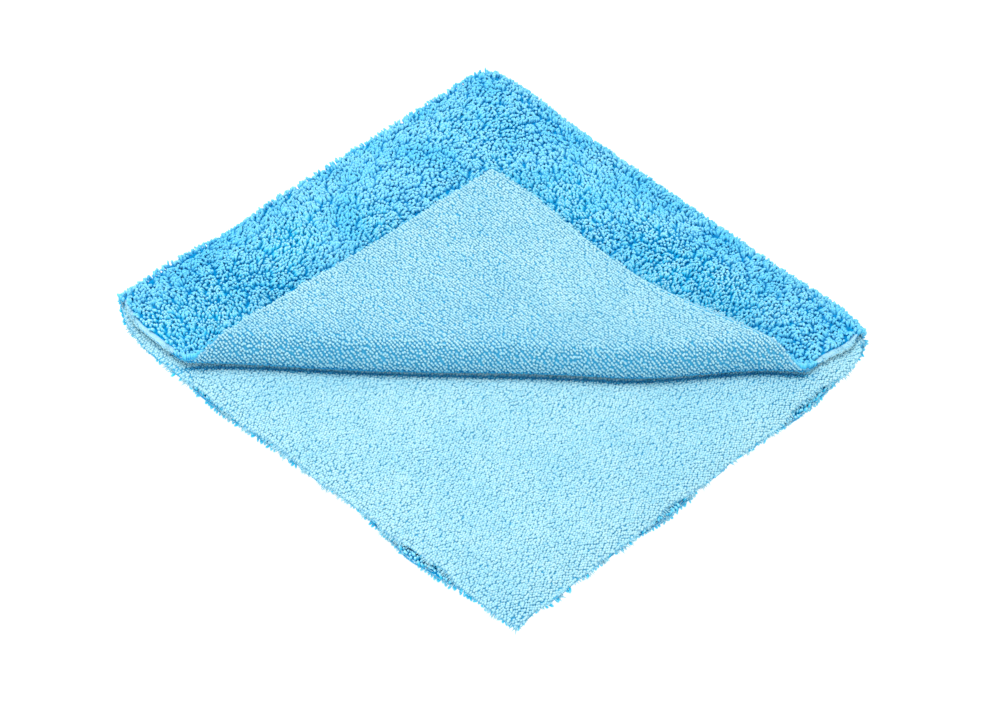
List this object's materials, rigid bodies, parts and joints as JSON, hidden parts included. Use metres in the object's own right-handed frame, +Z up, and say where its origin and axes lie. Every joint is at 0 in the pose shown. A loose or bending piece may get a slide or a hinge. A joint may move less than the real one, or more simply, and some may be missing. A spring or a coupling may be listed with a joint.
{
  "type": "folded polishing towel",
  "caption": "Dual-pile microfibre polishing towel, folded in quarters with its top corner turned back, for wiping and buffing car paint.",
  "frame": {"origin": "middle of the folded square, on the face that it rests on", "axes": "+Z up through the layers; +Y toward the outer centre fold; -X toward the side folds"},
  "size_m": [0.202, 0.202, 0.0249],
  "materials": {
    "long_pile": "matte",
    "ground_knit": "matte",
    "short_pile": "matte"
  },
  "bodies": {
    "bottom_quarter": {"bottom_quarter_long_pile": "long_pile", "bottom_quarter_ground_knit": "ground_knit", "bottom_quarter_short_pile": "short_pile", "lower_side_fold_long_pile": "long_pile", "lower_side_fold_ground_knit": "ground_knit", "lower_side_fold_short_pile": "short_pile", "outer_centre_fold_long_pile": "long_pile", "outer_centre_fold_ground_knit": "ground_knit", "outer_centre_fold_short_pile": "short_pile"},
    "lower_inner_quarter": {"lower_inner_quarter_long_pile": "long_pile", "lower_inner_quarter_ground_knit": "ground_knit", "lower_inner_quarter_short_pile": "short_pile", "inner_centre_fold_long_pile": "long_pile", "inner_centre_fold_ground_knit": "ground_knit", "inner_centre_fold_short_pile": "short_pile"},
    "upper_inner_quarter": {"upper_inner_quarter_long_pile": "long_pile", "upper_inner_quarter_ground_knit": "ground_knit", "upper_inner_quarter_short_pile": "short_pile", "upper_side_fold_long_pile": "long_pile", "upper_side_fold_ground_knit": "ground_knit", "upper_side_fold_short_pile": "short_pile"},
    "top_quarter": {"top_quarter_long_pile": "long_pile", "top_quarter_ground_knit": "ground_knit", "top_quarter_short_pile": "short_pile", "corner_crease_long_pile": "long_pile", "corner_crease_ground_knit": "ground_knit", "corner_crease_short_pile": "short_pile"},
    "turned_back_corner": {"turned_back_corner_long_pile": "long_pile", "turned_back_corner_ground_knit": "ground_knit", "turned_back_corner_short_pile": "short_pile"}
  },
  "joints": [
    {"name": "lower_side_fold", "type": "hinge", "parent": "bottom_quarter", "child": "lower_inner_quarter", "pos_m": [-0.09843, 0, 0.00345], "axis": [0, -1, 0], "range_deg": [0, 179.9], "deforming": ["lower_side_fold_long_pile", "lower_side_fold_ground_knit", "lower_side_fold_short_pile", "outer_centre_fold_long_pile", "outer_centre_fold_ground_knit", "outer_centre_fold_short_pile"]},
    {"name": "centre_fold", "type": "hinge", "parent": "lower_inner_quarter", "child": "upper_inner_quarter", "pos_m": [0, 0.09775, 0.00705], "axis": [-1, 0, 0], "range_deg": [0, 179.9], "deforming": ["inner_centre_fold_long_pile", "inner_centre_fold_ground_knit", "inner_centre_fold_short_pile"]},
    {"name": "upper_side_fold", "type": "hinge", "parent": "upper_inner_quarter", "child": "top_quarter", "pos_m": [-0.09843, 0, 0.01065], "axis": [0, -1, 0], "range_deg": [0, 179.9], "deforming": ["upper_side_fold_long_pile", "upper_side_fold_ground_knit", "upper_side_fold_short_pile"]},
    {"name": "corner_fold", "type": "hinge", "parent": "top_quarter", "child": "turned_back_corner", "pos_m": [0.02312, -0.02312, 0.01783], "axis": [0.7071, 0.7071, 0], "range_deg": [0, 179.9], "deforming": ["corner_crease_long_pile", "corner_crease_ground_knit", "corner_crease_short_pile"]}
  ],
  "couplings": [
    {"joint": "centre_fold", "follows": "lower_side_fold", "ratio": 1},
    {"joint": "upper_side_fold", "follows": "lower_side_fold", "ratio": 1}
  ]
}
